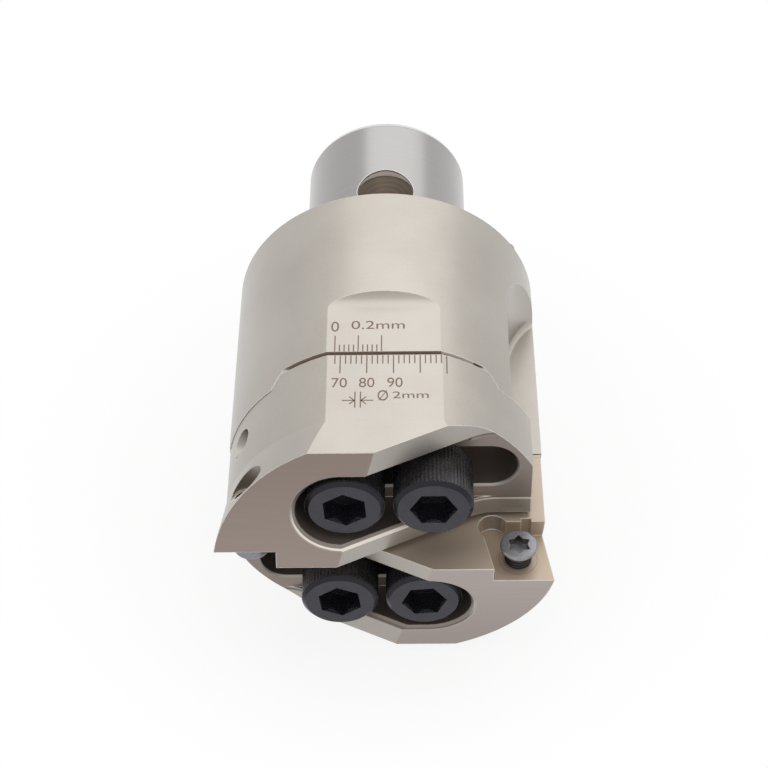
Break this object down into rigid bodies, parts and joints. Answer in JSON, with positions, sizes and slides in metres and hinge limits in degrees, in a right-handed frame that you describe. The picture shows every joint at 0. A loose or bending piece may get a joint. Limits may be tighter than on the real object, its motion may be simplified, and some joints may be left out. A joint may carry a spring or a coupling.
{
  "type": "twin-bit rough boring head",
  "caption": "Rough boring head with a modular spigot and sliding insert holders that are clamped by cap screws and set against a diameter scale; no inserts fitted.",
  "frame": {"origin": "centre of the shoulder face, where the spigot meets the body", "axes": "+Y along the tool axis to the spigot's end, +Z out of the front scale flat, X along the holders' travel"},
  "size_m": [0.0664, 0.1152, 0.064],
  "materials": {
    "body_steel": "satin nickel",
    "holder_steel": "satin nickel",
    "ground_steel": "ground",
    "black_oxide": "black oxide",
    "insert_screw_steel": "dark burnished"
  },
  "bodies": {
    "head": {"head_body": "body_steel", "drive_pin": "ground_steel", "pin_retaining_screw": "black_oxide"},
    "coupling_pin": {"coupling_pin": "ground_steel"},
    "holder_a": {"insert_holder_a": "holder_steel"},
    "clamp_outer_a": {"clamp_screw_outer_a": "black_oxide"},
    "clamp_inner_a": {"clamp_screw_inner_a": "black_oxide"},
    "adjuster_a": {"adjusting_screw_a": "black_oxide"},
    "insert_screw_a": {"insert_screw_a": "insert_screw_steel"},
    "holder_b": {"insert_holder_b": "holder_steel"},
    "clamp_outer_b": {"clamp_screw_outer_b": "black_oxide"},
    "clamp_inner_b": {"clamp_screw_inner_b": "black_oxide"},
    "adjuster_b": {"adjusting_screw_b": "black_oxide"},
    "insert_screw_b": {"insert_screw_b": "insert_screw_steel"}
  },
  "joints": [
    {"name": "coupling_pin_float", "type": "slide", "parent": "head", "child": "coupling_pin", "axis": [0, 0, 1], "range_m": [0, 0.0004]},
    {"name": "holder_a_slide", "type": "slide", "parent": "head", "child": "holder_a", "axis": [-1, 0, 0], "range_m": [0, 0.011]},
    {"name": "clamp_outer_a_turn", "type": "hinge", "parent": "head", "child": "clamp_outer_a", "pos_m": [-0.0076, -0.066, 0.0144], "axis": [0, -1, 0], "range_deg": [0, 360]},
    {"name": "clamp_inner_a_turn", "type": "hinge", "parent": "head", "child": "clamp_inner_a", "pos_m": [0.0094, -0.066, 0.0144], "axis": [0, -1, 0], "range_deg": [0, 360]},
    {"name": "adjuster_a_turn", "type": "hinge", "parent": "head", "child": "adjuster_a", "pos_m": [-0.0193, -0.05475, 0.0144], "axis": [1, 0, 0], "range_deg": [0, 3960]},
    {"name": "insert_screw_a_turn", "type": "hinge", "parent": "holder_a", "child": "insert_screw_a", "pos_m": [-0.02625, -0.0688, 0.004], "axis": [0, 0, -1], "range_deg": [0, 360]},
    {"name": "holder_b_slide", "type": "slide", "parent": "head", "child": "holder_b", "axis": [1, 0, 0], "range_m": [0, 0.011]},
    {"name": "clamp_outer_b_turn", "type": "hinge", "parent": "head", "child": "clamp_outer_b", "pos_m": [0.0076, -0.066, -0.0144], "axis": [0, -1, 0], "range_deg": [0, 360]},
    {"name": "clamp_inner_b_turn", "type": "hinge", "parent": "head", "child": "clamp_inner_b", "pos_m": [-0.0094, -0.066, -0.0144], "axis": [0, -1, 0], "range_deg": [0, 360]},
    {"name": "adjuster_b_turn", "type": "hinge", "parent": "head", "child": "adjuster_b", "pos_m": [0.0193, -0.05475, -0.0144], "axis": [-1, 0, 0], "range_deg": [0, 3960]},
    {"name": "insert_screw_b_turn", "type": "hinge", "parent": "holder_b", "child": "insert_screw_b", "pos_m": [0.02625, -0.0688, -0.004], "axis": [0, 0, 1], "range_deg": [0, 360]}
  ],
  "couplings": [
    {"joint": "adjuster_a_turn", "follows": "holder_a_slide", "rad_per_m": 6283.2},
    {"joint": "adjuster_b_turn", "follows": "holder_b_slide", "rad_per_m": 6283.2}
  ]
}
